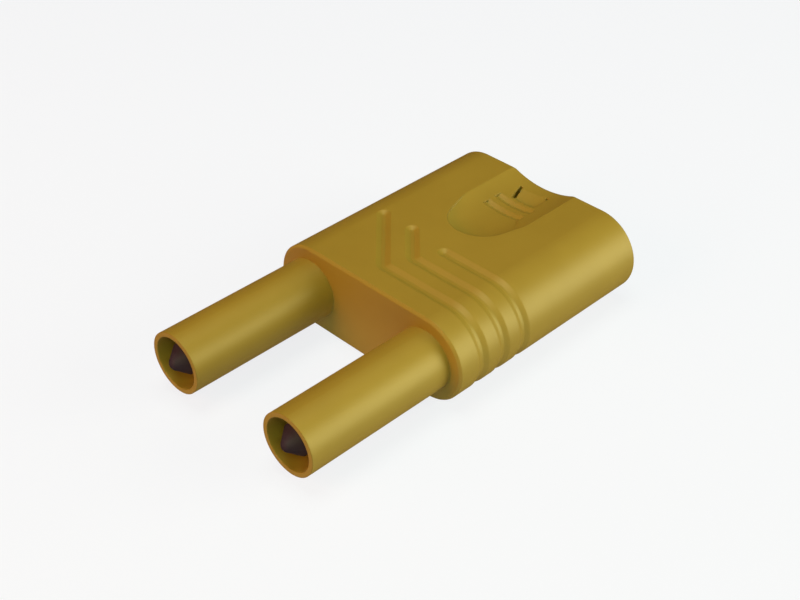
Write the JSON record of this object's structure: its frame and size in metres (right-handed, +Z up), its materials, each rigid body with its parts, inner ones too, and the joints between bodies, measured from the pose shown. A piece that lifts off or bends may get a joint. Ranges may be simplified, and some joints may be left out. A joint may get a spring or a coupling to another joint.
{
  "type": "shorting plug",
  "caption": "Flat safety shorting plug: side-by-side shrouded contact pins bridged inside a moulded yellow grip body with grip grooves and thumb recesses.",
  "frame": {"origin": "middle of the seating face, the grip body's front face, on the plane of both pin axes", "axes": "+X across the plugs to the grooved end, +Y from the plugs to the rear of the grip, +Z up out of the face with the marked thumb recess"},
  "size_m": [0.03, 0.0528, 0.011],
  "materials": {
    "yellow_polyamide": "satin injection moulding",
    "nickel_plated_brass": "turned and nickel plated",
    "nickel_plated_spring": "punched sheet, nickel plated",
    "dark_polyamide": "satin injection moulding",
    "bare_brass": "punched strip"
  },
  "bodies": {
    "root": {"housing": "yellow_polyamide", "contact_pin_left": "nickel_plated_brass", "contact_pin_right": "nickel_plated_brass", "spring_cage_left": "nickel_plated_spring", "spring_cage_right": "nickel_plated_spring", "pin_nose_left": "dark_polyamide", "pin_nose_right": "dark_polyamide", "shorting_bar": "bare_brass"}
  },
  "joints": []
}
